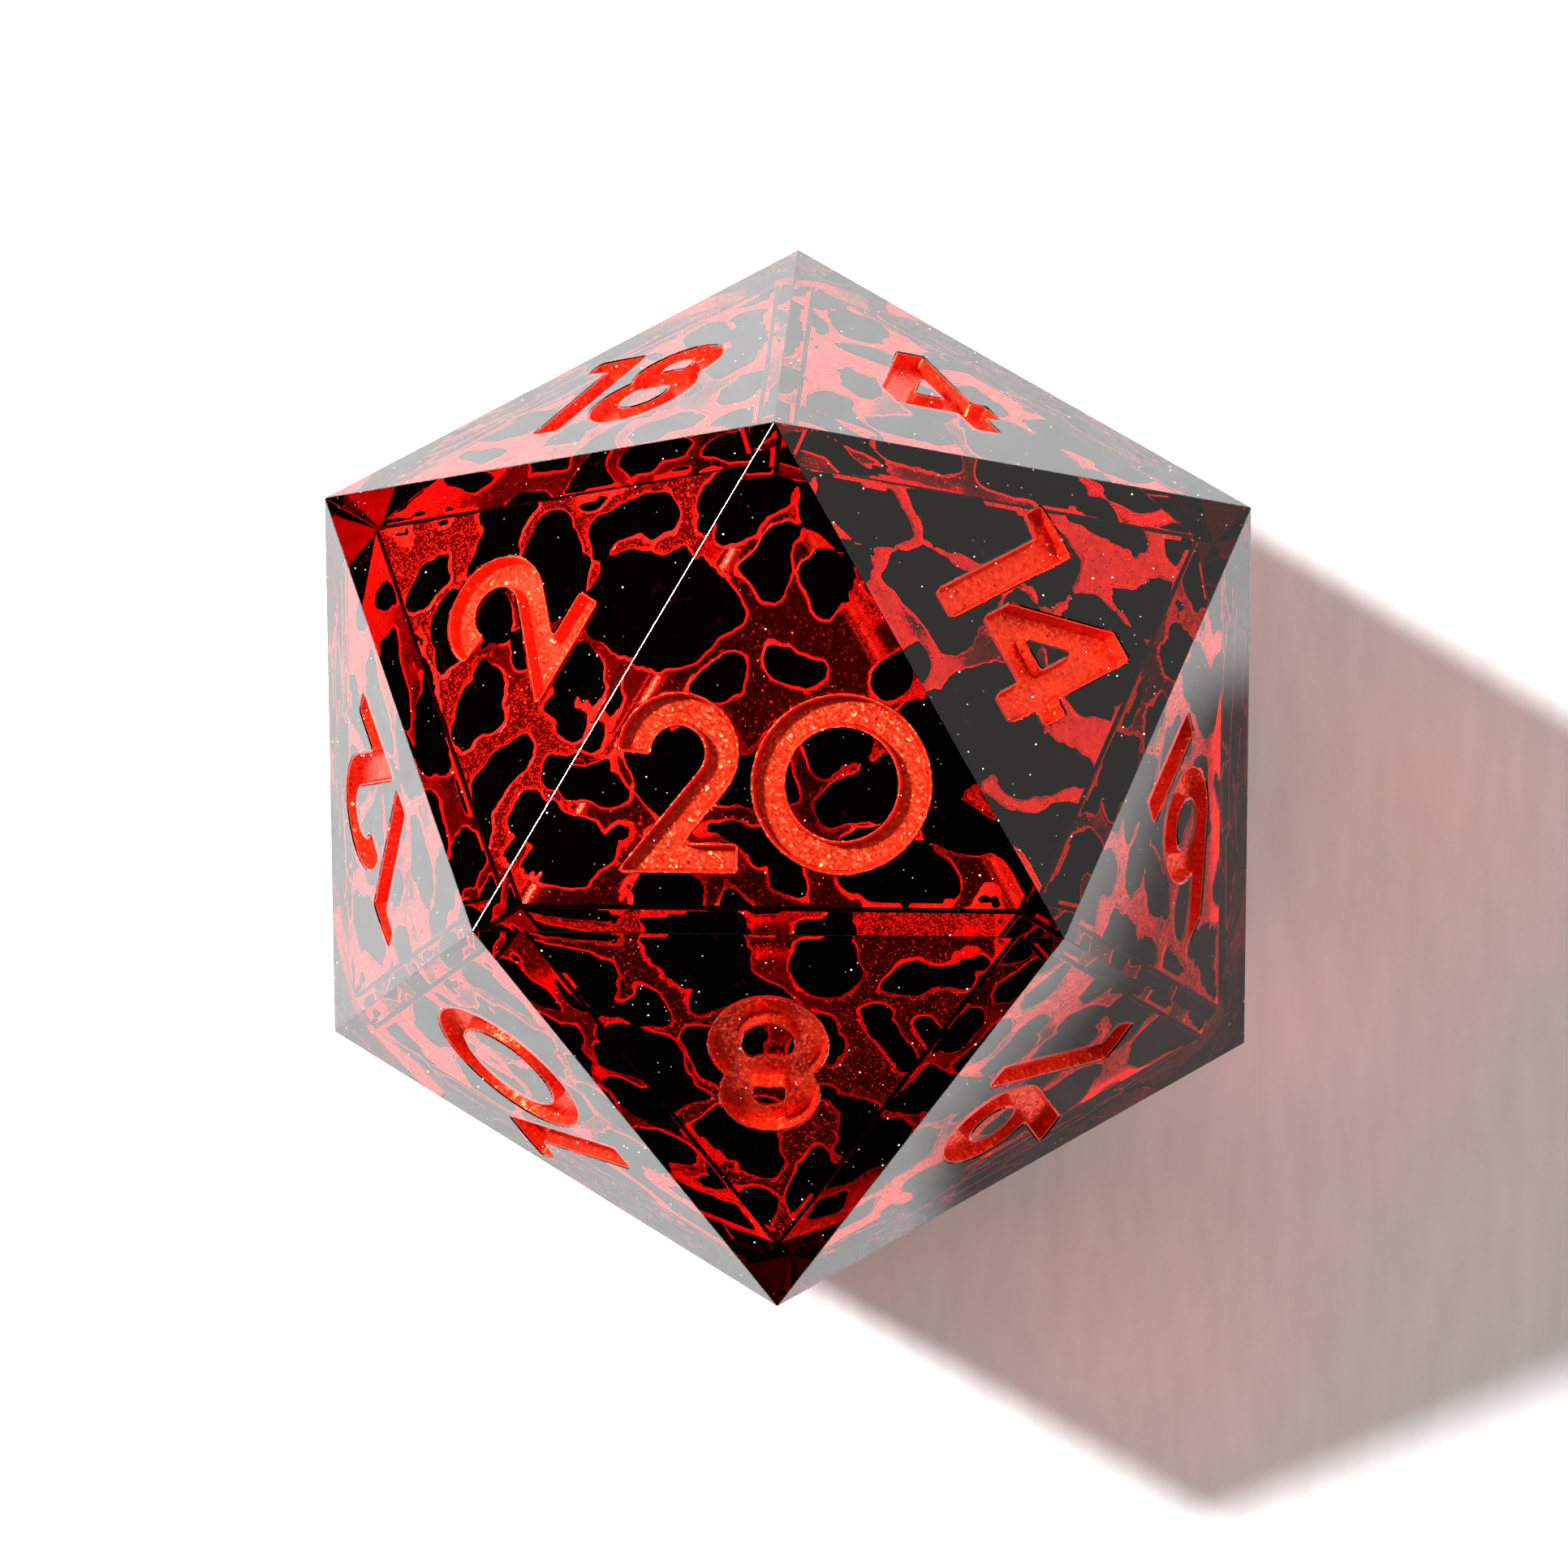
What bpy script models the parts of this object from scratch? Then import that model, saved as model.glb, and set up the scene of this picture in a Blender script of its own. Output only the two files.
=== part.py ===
"""A twenty-sided die: a foil-wrapped core cast inside clear resin, with engraved and painted numerals.

Metres, +Z up. The die lies on its face 1 with face 20 on top. The origin is the middle of the bottom face,
and +Y points from the middle of face 20 to the corner above its numeral.
"""

from math import cos, pi, radians, sin, sqrt, tan

import bmesh
import bpy
from mathutils import Matrix, Vector
from mathutils.geometry import delaunay_2d_cdt

MM = 0.001

# The die. All twenty faces lie at the same distance from the centre.
FACE_TO_FACE = 20.0 * MM
EDGE_BREAK = 0.08 * MM  # width of the flat left by polishing each sharp edge
WALL = 1.5 * MM  # clear resin between each face and the foil
FOIL = 0.1 * MM  # thickness of the foil on the core
SEAM = 0.16 * MM  # between neighbouring foil panels
CLEARANCE = 0.05 * MM  # between pieces that touch

# The numerals. Every stroke has the same width.
DIGIT_HEIGHT = 4.04 * MM
STROKE = 0.74 * MM
DIGIT_GAP = 0.29 * MM
GROOVE = 0.37 * MM  # depth of the engraving
DRAFT = 0.05 * MM  # how far each groove wall leans in, from the face to the floor
OVERCUT = 0.2 * MM  # how far a cutter stands out of its face
PAINT = 0.1 * MM  # thickness of the paint on a groove's floor
ARC_STEP = radians(15)
MERGE = 1e-8  # for the outlines of the digits
SAME_POINT = 0.01 * MM

# Centre line radii that several digits share.
BOWL = 0.99 * MM
SMALL_BOWL = 0.77 * MM

# The underline tells a 6 from a 9.
UNDERLINE_LENGTH = 2.8 * MM
UNDERLINE_GAP = 0.27 * MM
UNDERLINED = (6, 9)

# Where a numeral sits off the middle of its face, to the right and up.
NUMERAL_SHIFT = {
    20: (0.10 * MM, -0.44 * MM),
    2: (-0.22 * MM, 0.15 * MM),
    4: (-0.40 * MM, 0.05 * MM),
    8: (0.06 * MM, 0.14 * MM),
    18: (-0.10 * MM, 0.08 * MM),
}

GOLDEN = (1 + sqrt(5)) / 2
EDGE = FACE_TO_FACE * sqrt(3) / GOLDEN**2
CENTRE_HEIGHT = FACE_TO_FACE / 2
FACE_RADIUS = EDGE / sqrt(3)  # of the circle through a face's corners
CORNERS_HIGH = CENTRE_HEIGHT
CORNERS_MIDDLE = EDGE / (2 * sqrt(3) * GOLDEN)

# The corners of the upper half and of the band round the middle, as (degrees round Z, radius, height
# over the centre). Each face below names its left, its right and its top corner as its numeral is read.
CORNERS = {
    "A": (150, FACE_RADIUS * GOLDEN, CORNERS_MIDDLE),
    "B": (90, FACE_RADIUS, CORNERS_HIGH),
    "C": (210, FACE_RADIUS, CORNERS_HIGH),
    "D": (330, FACE_RADIUS, CORNERS_HIGH),
    "E": (30, FACE_RADIUS * GOLDEN, CORNERS_MIDDLE),
    "F": (90, FACE_RADIUS * GOLDEN, -CORNERS_MIDDLE),
    "G": (210, FACE_RADIUS * GOLDEN, -CORNERS_MIDDLE),
    "H": (270, FACE_RADIUS * GOLDEN, CORNERS_MIDDLE),
    "I": (330, FACE_RADIUS * GOLDEN, -CORNERS_MIDDLE),
}
UPPER_FACES = {
    20: "CDB",
    2: "CBA",
    8: "DCH",
    14: "BDE",
    18: "ABF",
    12: "CAG",
    4: "BEF",
    6: "EDI",
    16: "DHI",
    10: "HCG",
}
OPPOSITE_SUM = 21

# Faces whose foil is one folded strip. Every other face has a panel of its own.
FOLDED_STRIP = (2, 20, 14)

RESIN_COLOUR = (0.45, 0.0, 0.015, 1.0)
CORE_COLOUR = (0.01, 0.01, 0.012, 1.0)
FOIL_COLOUR = (0.75, 0.02, 0.02, 1.0)
PAINT_COLOUR = (1.0, 0.08, 0.02, 1.0)


def clear_scene():
    for obj in list(bpy.data.objects):
        bpy.data.objects.remove(obj, do_unlink=True)


def material(name, colour, roughness, metallic):
    made = bpy.data.materials.new(name)
    made.use_nodes = True
    shader = made.node_tree.nodes["Principled BSDF"]
    shader.inputs["Base Color"].default_value = colour
    shader.inputs["Roughness"].default_value = roughness
    shader.inputs["Metallic"].default_value = metallic
    return made


def add_object(name, mesh, parent, finish):
    obj = bpy.data.objects.new(name, mesh)
    bpy.context.scene.collection.objects.link(obj)
    obj.parent = parent
    if finish:
        mesh.materials.append(finish)
    return obj


def as_helper(obj, collection=None):
    """Keeps a cutter out of renders and, where one is given, puts it in a collection of cutters."""
    obj.hide_render = True
    obj.display_type = "WIRE"
    if collection:
        collection.objects.link(obj)


def mesh_from(bm, name):
    mesh = bpy.data.meshes.new(name)
    bm.to_mesh(mesh)
    bm.free()
    return mesh


def rim(faces):
    """The directed edges that only one face has."""
    edges = [(face[i - 1], face[i]) for face in faces for i in range(len(face))]
    known = set(edges)
    return [(a, b) for a, b in edges if (b, a) not in known]


def layer(name, faces, top, bottom):
    """A closed mesh between two copies of a surface, which share their faces."""
    bm = bmesh.new()
    high = [bm.verts.new(point) for point in top]
    low = [bm.verts.new(point) for point in bottom]
    for face in faces:
        bm.faces.new([high[i] for i in face])
        bm.faces.new([low[i] for i in reversed(face)])
    for a, b in rim(faces):
        bm.faces.new([high[b], high[a], low[a], low[b]])
    bmesh.ops.delete(bm, geom=[v for v in bm.verts if not v.link_faces], context="VERTS")
    return mesh_from(bm, name)


# Geometry of the faces


def corner(letter):
    degrees, radius, height = CORNERS[letter]
    angle = radians(degrees)
    return Vector((radius * cos(angle), radius * sin(angle), height))


def face_corners(number):
    """The left, right and top corner of a face, from the die's centre. Opposite faces add up to 21."""
    if number in UPPER_FACES:
        return [corner(letter) for letter in UPPER_FACES[number]]
    left, right, top = face_corners(OPPOSITE_SUM - number)
    return [-right, -left, -top]


def face_matrix(number):
    """The frame of a face: origin in its middle, +X along its numeral, +Y up it and +Z outwards."""
    left, right, top = face_corners(number)
    middle = (left + right + top) / 3
    rightward = (right - left).normalized()
    outward = middle.normalized()
    turn = Matrix((rightward, outward.cross(rightward), outward)).transposed()
    return Matrix.Translation(middle) @ turn.to_4x4()


def icosahedron(inset):
    """A bmesh of the die's form with every face moved in by the inset."""
    scale = 1 - inset / CENTRE_HEIGHT
    bm = bmesh.new()
    for number in UPPER_FACES:
        for point in face_corners(number) + face_corners(OPPOSITE_SUM - number):
            bm.verts.new(point * scale)
    bmesh.ops.remove_doubles(bm, verts=bm.verts, dist=SAME_POINT)
    bmesh.ops.convex_hull(bm, input=bm.verts)
    bmesh.ops.recalc_face_normals(bm, faces=bm.faces)
    return bm


# Strokes and digits, with the baseline at y = 0


def left_of(along):
    return Vector((-along.y, along.x))


def ribbon(path, closed=False):
    """Quads one stroke wide along a centre line, mitred where it turns and square at its ends."""
    count = len(path)
    offsets = []
    for i, point in enumerate(path):
        first = path[i - 1] if i or closed else None
        last = path[(i + 1) % count] if i < count - 1 or closed else None
        arriving = (point - first).normalized() if first else (last - point).normalized()
        leaving = (last - point).normalized() if last else arriving
        side = left_of(arriving) + left_of(leaving)
        offsets.append(side * STROKE / side.length_squared)
    left = [point + offset for point, offset in zip(path, offsets)]
    right = [point - offset for point, offset in zip(path, offsets)]
    starts = range(count if closed else count - 1)
    return [[right[i], right[(i + 1) % count], left[(i + 1) % count], left[i]] for i in starts]


def arc(centre, radius, start, end):
    """Points along an arc between two angles in degrees, clockwise where the end is the lower one."""
    steps = max(2, round(abs(radians(end - start)) / ARC_STEP))
    angles = [radians(start + (end - start) * i / steps) for i in range(steps + 1)]
    return [centre + radius * Vector((cos(angle), sin(angle))) for angle in angles]


def ring(centre, radius):
    return ribbon(arc(centre, radius, 0, 360)[:-1], closed=True)


def ended_on_level(quads, level):
    """A ribbon whose last two corners slide along its sides to a level cut."""
    near_right, far_right, far_left, near_left = quads[-1]
    along = far_right - near_right
    ends = [point + along * (level - point.y) / along.y for point in (far_right, far_left)]
    return quads[:-1] + [[near_right, *ends, near_left]]


def bar_to_level(start, degrees, level):
    """A straight stroke from a square end to a level cut."""
    along = Vector((cos(radians(degrees)), sin(radians(degrees))))
    side = left_of(along) * STROKE / 2
    near = [start - side, start + side]
    far = [point + along * (level - point.y) / along.y for point in near]
    return [near[0], far[0], far[1], near[1]]


def box(left, low, right, high):
    return [Vector((left, low)), Vector((right, low)), Vector((right, high)), Vector((left, high))]


def counter_clockwise(polygon):
    area = sum(polygon[i - 1].cross(polygon[i]) for i in range(len(polygon)))
    return polygon if area > 0 else polygon[::-1]


def zero():
    radius = (DIGIT_HEIGHT - STROKE) / 2
    return ring(Vector((0, DIGIT_HEIGHT / 2)), radius)


def one():
    flag_reach = 0.62 * MM
    flag_left = 0.58 * MM
    flag_right = 0.70 * MM
    slope = 0.05 * MM
    stem = box(0, 0, STROKE, DIGIT_HEIGHT)
    flag = [
        Vector((-flag_reach, DIGIT_HEIGHT - slope)),
        Vector((-flag_reach, DIGIT_HEIGHT - flag_left)),
        Vector((STROKE / 2, DIGIT_HEIGHT - flag_right)),
        Vector((STROKE / 2, DIGIT_HEIGHT)),
    ]
    return [stem, flag]


def two():
    foot = 0.66 * MM
    foot_start = -0.6 * MM  # inside the diagonal, which makes the foot's pointed left end
    turn_end = -38.8
    reach = BOWL + STROKE / 2
    centre = Vector((0, DIGIT_HEIGHT - reach))
    hook = arc(centre, BOWL, 180, turn_end)
    diagonal = Vector((sin(radians(turn_end)), -cos(radians(turn_end)))) * foot
    return ended_on_level(ribbon(hook + [hook[-1] + diagonal]), 0) + [box(foot_start, 0, reach, foot)]


def three():
    low = Vector((0, BOWL + STROKE / 2))
    high = Vector((0, DIGIT_HEIGHT - SMALL_BOWL - STROKE / 2))
    middle = low.y + BOWL
    bridge = [Vector((-STROKE / 2, middle)), Vector((STROKE / 4, middle))]
    return ribbon(arc(low, BOWL, 95, -155)) + ribbon(arc(high, SMALL_BOWL, 150, -95)) + ribbon(bridge)


def four():
    bar_low = 0.83 * MM
    bar_high = 1.55 * MM
    width = 2.84 * MM
    stem_left = 1.68 * MM
    counter_left = 0.82 * MM
    slope = tan(radians(54.5))
    counter_high = bar_high + (stem_left - counter_left) * slope
    diagonal = [
        Vector((0, bar_low)),
        Vector((counter_left - (bar_high - bar_low) / slope, bar_low)),
        Vector((stem_left, counter_high)),
        Vector((stem_left, DIGIT_HEIGHT)),
        Vector((0, DIGIT_HEIGHT - stem_left * slope)),
    ]
    return [diagonal, box(0, bar_low, width, bar_high), box(stem_left, 0, stem_left + STROKE, DIGIT_HEIGHT)]


def five():
    bar = 0.66 * MM
    stem_left = -1.0 * MM
    bar_right = 1.05 * MM
    centre = Vector((0, BOWL + STROKE / 2))
    shoulder = centre.y + BOWL / 2
    stem = box(stem_left, shoulder, stem_left + STROKE, DIGIT_HEIGHT)
    top = box(stem_left, DIGIT_HEIGHT - bar, bar_right, DIGIT_HEIGHT)
    return ribbon(arc(centre, BOWL, 148, -150)) + [stem, top]


def six():
    leave = 141
    centre = Vector((0, BOWL + STROKE / 2))
    start = centre + BOWL * Vector((cos(radians(leave)), sin(radians(leave))))
    return ring(centre, BOWL) + [bar_to_level(start, leave - 90, DIGIT_HEIGHT)]


def seven():
    bar = 0.68 * MM
    width = 2.6 * MM
    lean = 246
    corner_inset = 0.34 * MM
    start = Vector((width - corner_inset, DIGIT_HEIGHT - STROKE / 2))
    return [box(0, DIGIT_HEIGHT - bar, width, DIGIT_HEIGHT), bar_to_level(start, lean, 0)]


def eight():
    low = Vector((0, BOWL + STROKE / 2))
    high = Vector((0, DIGIT_HEIGHT - SMALL_BOWL - STROKE / 2))
    return ring(low, BOWL) + ring(high, SMALL_BOWL)


def nine():
    """A six turned half round."""
    return [[Vector((-point.x, DIGIT_HEIGHT - point.y)) for point in polygon] for polygon in six()]


DIGITS = (zero, one, two, three, four, five, six, seven, eight, nine)


def joined(polygons):
    """Points and triangles that cover overlapping polygons once."""
    points = []
    faces = []
    for polygon in polygons:
        faces.append(list(range(len(points), len(points) + len(polygon))))
        points += counter_clockwise(polygon)
    corners, _, found, _, _, sources = delaunay_2d_cdt(points, [], faces, 0, MERGE)
    covered = [triangle for triangle, polygons_there in zip(found, sources) if polygons_there]
    return list(corners), covered


def drawn_in(points, triangles, distance):
    """The points of an outline moved in across its edges by a distance."""
    moved = [point.copy() for point in points]
    before = {}
    after = {}
    for a, b in rim(triangles):
        after[a] = b
        before[b] = a
    for i in after:
        arriving = (points[i] - points[before[i]]).normalized()
        leaving = (points[after[i]] - points[i]).normalized()
        side = left_of(arriving) + left_of(leaving)
        moved[i] += side * 2 * distance / side.length_squared
    return moved


def numeral_shapes(number):
    """The outline of each mark on a face, as (its name, points, triangles) in the face's frame."""
    marks = []
    pen = 0.0
    places = ("tens", "units") if number > 9 else ("units",)
    for place, digit in zip(places, str(number)):
        points, triangles = joined(DIGITS[int(digit)]())
        used = [points[i] for triangle in triangles for i in triangle]
        left = min(point.x for point in used)
        shifted = [point + Vector((pen - left, 0)) for point in points]
        pen += max(point.x for point in used) - left + DIGIT_GAP
        marks.append((place, shifted, triangles))
    width = pen - DIGIT_GAP
    drop = 0.0
    if number in UNDERLINED:
        middle = width / 2
        high = -UNDERLINE_GAP
        reach = UNDERLINE_LENGTH / 2
        bar = joined([box(middle - reach, high - STROKE, middle + reach, high)])
        marks.append(("underline", *bar))
        drop = UNDERLINE_GAP + STROKE
    right, up = NUMERAL_SHIFT.get(number, (0, 0))
    move = Vector((right - width / 2, up - (DIGIT_HEIGHT - drop) / 2))
    return [(name, [point + move for point in points], triangles) for name, points, triangles in marks]


def groove_layer(name, points, triangles, high, low, side_gap):
    """A slab that follows a groove's leaning walls between two heights over the face."""
    lean = DRAFT / GROOVE
    top = drawn_in(points, triangles, side_gap - high * lean)
    bottom = drawn_in(points, triangles, side_gap - low * lean)
    return layer(
        name,
        triangles,
        [Vector((point.x, point.y, high)) for point in top],
        [Vector((point.x, point.y, low)) for point in bottom],
    )


def build_numeral(number, centre, paint, cutters):
    """A cutter for each mark on a face, and the paint that lies on the floor of its groove."""
    place = face_matrix(number)
    for mark, points, triangles in numeral_shapes(number):
        name = f"numeral_{number:02d}_{mark}"
        cutter_mesh = groove_layer(name + "_cutter", points, triangles, OVERCUT, -GROOVE, 0)
        cutter = add_object(name + "_cutter", cutter_mesh, centre, None)
        cutter.matrix_basis = place
        as_helper(cutter, cutters)
        floor = CLEARANCE - GROOVE
        fill_mesh = groove_layer(name, points, triangles, floor + PAINT, floor, CLEARANCE)
        fill = add_object(name, fill_mesh, centre, paint)
        fill.matrix_basis = place


# The core and its foil


def shared_corners(number, other):
    """The corners of a face that another face has too."""
    theirs = face_corners(other)
    return [point for point in face_corners(number) if min((point - q).length for q in theirs) < SAME_POINT]


def foil_outline(number, strip):
    """A face's foil before it is scaled down to the core: trimmed at each seam and whole at each fold."""
    corners = face_corners(number)
    folds = [shared_corners(number, other) for other in strip if other != number]
    trim = SEAM / 2 / sin(pi / 3)
    outline = []
    for i, point in enumerate(corners):
        to_last = (corners[i - 1] - point).normalized()
        to_next = (corners[(i + 1) % 3] - point).normalized()
        last_folds = any(point in fold and corners[i - 1] in fold for fold in folds)
        next_folds = any(point in fold and corners[(i + 1) % 3] in fold for fold in folds)
        if last_folds:
            outline.append(point + to_last * trim)
        if next_folds:
            outline.append(point + to_next * trim)
        if not last_folds and not next_folds:
            outline.append(point + (to_last + to_next) * trim)
    return outline


def build_foil(name, strip, centre, finish):
    """One closed sheet over the faces of a strip, folded where they meet."""
    points = []
    faces = []
    for number in strip:
        face = []
        for point in foil_outline(number, strip):
            near = [i for i, known in enumerate(points) if (known - point).length < SAME_POINT]
            if not near:
                points.append(point)
            face.append(near[0] if near else len(points) - 1)
        faces.append(face)
    outside = 1 - WALL / CENTRE_HEIGHT
    inside = 1 - (WALL + FOIL) / CENTRE_HEIGHT
    mesh = layer(name, faces, [point * outside for point in points], [point * inside for point in points])
    return add_object(name, mesh, centre, finish)


def build_core(centre, finish):
    bm = icosahedron(WALL + FOIL + CLEARANCE)
    return add_object("core", mesh_from(bm, "core"), centre, finish)


# The two resin pours


def cut(obj, name, cutter):
    modifier = obj.modifiers.new(name, "BOOLEAN")
    modifier.operation = "DIFFERENCE"
    modifier.solver = "EXACT"
    if isinstance(cutter, bpy.types.Collection):
        modifier.operand_type = "COLLECTION"
        modifier.collection = cutter
    else:
        modifier.object = cutter


def block_cutter(name, low, high, centre):
    """A block wider than the die between two heights over the floor."""
    bm = bmesh.new()
    bmesh.ops.create_cube(bm, size=1)
    bmesh.ops.scale(bm, vec=(2 * FACE_TO_FACE, 2 * FACE_TO_FACE, high - low), verts=bm.verts)
    cutter = add_object(name, mesh_from(bm, name), centre, None)
    cutter.location.z = (low + high) / 2 - CENTRE_HEIGHT
    as_helper(cutter)
    return cutter


def pour(name, centre, finish):
    """The whole die with its edges broken, before anything is cut from it."""
    bm = icosahedron(0)
    bmesh.ops.bevel(
        bm,
        geom=bm.edges[:],
        offset=EDGE_BREAK / 2,
        offset_type="OFFSET",
        segments=1,
        affect="EDGES",
        clamp_overlap=True,
    )
    return add_object(name, mesh_from(bm, name), centre, finish)


def build_pours(centre, finish, cutters):
    """The first pour is the slab that the core was set down on, and the main pour covers the rest."""
    below = block_cutter("below_pour_line", -FACE_TO_FACE, WALL, centre)
    above = block_cutter("above_pour_line", WALL - CLEARANCE, 2 * FACE_TO_FACE, centre)
    cavity = add_object("core_cavity", mesh_from(icosahedron(WALL - CLEARANCE), "core_cavity"), centre, None)
    as_helper(cavity)
    main_pour = pour("main_pour", centre, finish)
    cut(main_pour, "pour line", below)
    cut(main_pour, "core cavity", cavity)
    cut(main_pour, "numerals", cutters)
    base_pour = pour("base_pour", centre, finish)
    cut(base_pour, "pour line", above)
    cut(base_pour, "numerals", cutters)


def build_die():
    clear_scene()
    resin = material("crimson_resin", RESIN_COLOUR, 0.03, 0.0)
    core_resin = material("black_resin", CORE_COLOUR, 0.3, 0.0)
    foil = material("printed_foil", FOIL_COLOUR, 0.12, 1.0)
    paint = material("numeral_paint", PAINT_COLOUR, 0.45, 0.1)
    centre = bpy.data.objects.new("die_centre", None)
    centre.location.z = CENTRE_HEIGHT
    bpy.context.scene.collection.objects.link(centre)
    cutters = bpy.data.collections.new("numeral_cutters")
    bpy.context.scene.collection.children.link(cutters)
    numbers = sorted([*UPPER_FACES, *(OPPOSITE_SUM - number for number in UPPER_FACES)])
    for number in numbers:
        build_numeral(number, centre, paint, cutters)
    build_foil("foil_strip_02_20_14", FOLDED_STRIP, centre, foil)
    for number in numbers:
        if number not in FOLDED_STRIP:
            build_foil(f"foil_panel_{number:02d}", (number,), centre, foil)
    build_core(centre, core_resin)
    build_pours(centre, resin, cutters)


build_die()
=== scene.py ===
"""The looks of a twenty-sided die: clear crimson resin over a core wrapped in crackle-printed foil.

Metres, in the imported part's frame: the die lies on its face 1, with face 20 on top. Each piece is made
round the die's centre and is then lifted into place. The core is the part's own, with a new material.
"""

from math import cos, pi, radians, sin, sqrt, tan

import bmesh
import bpy
import numpy as np
from mathutils import Matrix, Vector
from mathutils.geometry import delaunay_2d_cdt


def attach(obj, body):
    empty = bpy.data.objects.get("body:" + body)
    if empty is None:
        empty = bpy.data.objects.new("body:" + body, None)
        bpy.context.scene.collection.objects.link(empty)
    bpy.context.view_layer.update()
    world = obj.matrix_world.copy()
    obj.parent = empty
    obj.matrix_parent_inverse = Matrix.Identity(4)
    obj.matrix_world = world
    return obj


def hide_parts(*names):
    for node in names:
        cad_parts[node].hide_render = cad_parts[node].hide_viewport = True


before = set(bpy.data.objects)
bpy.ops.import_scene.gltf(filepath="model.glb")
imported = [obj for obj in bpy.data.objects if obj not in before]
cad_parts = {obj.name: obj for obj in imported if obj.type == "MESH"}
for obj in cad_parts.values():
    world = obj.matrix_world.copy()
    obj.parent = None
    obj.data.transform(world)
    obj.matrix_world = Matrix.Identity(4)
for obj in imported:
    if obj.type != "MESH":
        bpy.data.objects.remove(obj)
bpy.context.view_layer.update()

MM = 0.001
SEED = 20

# The die, as in the part.
FACE_TO_FACE = 20.0 * MM
WALL = 1.5 * MM
FOIL = 0.1 * MM
SEAM = 0.16 * MM

# The resin's outside.
EDGE_WIDTH = 0.032 * MM  # of the rounding along each edge, finer than the part's flat
LIP = 0.03 * MM  # of the chamfer round each groove's mouth

# The numerals, as in the part.
DIGIT_HEIGHT = 4.04 * MM
STROKE = 0.74 * MM
DIGIT_GAP = 0.29 * MM
GROOVE = 0.37 * MM
DRAFT = 0.05 * MM
BOWL = 0.99 * MM
SMALL_BOWL = 0.77 * MM
UNDERLINE_LENGTH = 2.8 * MM
UNDERLINE_GAP = 0.27 * MM
UNDERLINED = (6, 9)
NUMERAL_SHIFT = {
    20: (0.10 * MM, -0.44 * MM),
    2: (-0.22 * MM, 0.15 * MM),
    4: (-0.40 * MM, 0.05 * MM),
    8: (0.06 * MM, 0.14 * MM),
    18: (-0.10 * MM, 0.08 * MM),
}

# Finer than in the part: round strokes, soft corners and a fillet round each groove's floor.
ARC_CHORD = 0.22 * MM
CORNER_ROUND = 0.12 * MM
LEAST_ROUND = 0.02 * MM
SHORTEST_EDGE = 0.1 * MM
SHARP = radians(25)
MOST_OF_SIDE = 0.45  # of a side that a soft corner may take up
FILLET = 0.04 * MM
PAINT_COAT = 0.03 * MM
PAINT_GRIP = 0.008 * MM  # how far the paint keys into the resin
MERGE = 1e-8
SAME_POINT = 0.001 * MM

# The crackle print on the foil.
GRID_STEP = 0.12 * MM
BLOB_SPACING = 1.55 * MM
SEED_MARGIN = 1.6 * MM  # how far past a panel's edge its pattern goes on
SOFTNESS = 0.24 * MM  # the larger, the rounder the blobs and the wider the junctions
VEIN_HALF = 0.13 * MM
VEIN_CHANGE = 0.09 * MM
RIM_WIDTH = 0.06 * MM  # of the bright rim round each blob
SEAM_RIM = 0.12 * MM  # of the same rim along a panel's cut edge, where it shows
RELIEF = 0.03 * MM  # from the bottom of a vein to the top of a blob
FOLD_SOFTNESS = 0.3 * MM  # how far from a fold its rounding starts
FOLD_SHARP = radians(50)
SEAM_RIM_MIDDLE = 0.4  # shares of the seam's rim: at its middle, and how much it changes
SEAM_RIM_CHANGE = 0.9
SEAM_CHANGE_LENGTH = 3.0 * MM
SEED_TRIES = 700
BLOBS_PER_PAIR = 5  # one in this many is joined to its nearest neighbour

GOLDEN = (1 + sqrt(5)) / 2
EDGE = FACE_TO_FACE * sqrt(3) / GOLDEN**2
CENTRE_HEIGHT = FACE_TO_FACE / 2
FACE_RADIUS = EDGE / sqrt(3)
CORNERS_MIDDLE = EDGE / (2 * sqrt(3) * GOLDEN)
CORNERS = {
    "A": (150, FACE_RADIUS * GOLDEN, CORNERS_MIDDLE),
    "B": (90, FACE_RADIUS, CENTRE_HEIGHT),
    "C": (210, FACE_RADIUS, CENTRE_HEIGHT),
    "D": (330, FACE_RADIUS, CENTRE_HEIGHT),
    "E": (30, FACE_RADIUS * GOLDEN, CORNERS_MIDDLE),
    "F": (90, FACE_RADIUS * GOLDEN, -CORNERS_MIDDLE),
    "G": (210, FACE_RADIUS * GOLDEN, -CORNERS_MIDDLE),
    "H": (270, FACE_RADIUS * GOLDEN, CORNERS_MIDDLE),
    "I": (330, FACE_RADIUS * GOLDEN, -CORNERS_MIDDLE),
}
UPPER_FACES = {
    20: "CDB",
    2: "CBA",
    8: "DCH",
    14: "BDE",
    18: "ABF",
    12: "CAG",
    4: "BEF",
    6: "EDI",
    16: "DHI",
    10: "HCG",
}
OPPOSITE_SUM = 21
NUMBERS = range(1, OPPOSITE_SUM)
FOLDED_STRIP = (2, 20, 14)

# The resin and the grain of the metal finishes.
RESIN_IOR = 1.5
RESIN_COLOUR = (0.90, 0.02, 0.03)
RESIN_DENSITY = 820.0  # per metre
EDGE_ROUGHNESS = 0.13
SCRATCH_ROUGHNESS = 0.04  # more than round the scratch
SHADOW_ENTERING = (0.004, 0.003, 0.003)
FLAKE_RARITY = 14.0  # the higher, the fewer flakes that lean far

# The camera looks almost straight down, at a spot on the floor.
AIM = Vector((-0.49 * MM, -0.09 * MM, 0))
CAMERA_DISTANCE = 250.4 * MM
CAMERA_AZIMUTH = radians(65.9)
CAMERA_ELEVATION = radians(87.47)
CAMERA_ROLL = radians(0.7)
CAMERA_LENS = 236.9
CAMERA_SENSOR = 36.0

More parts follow.
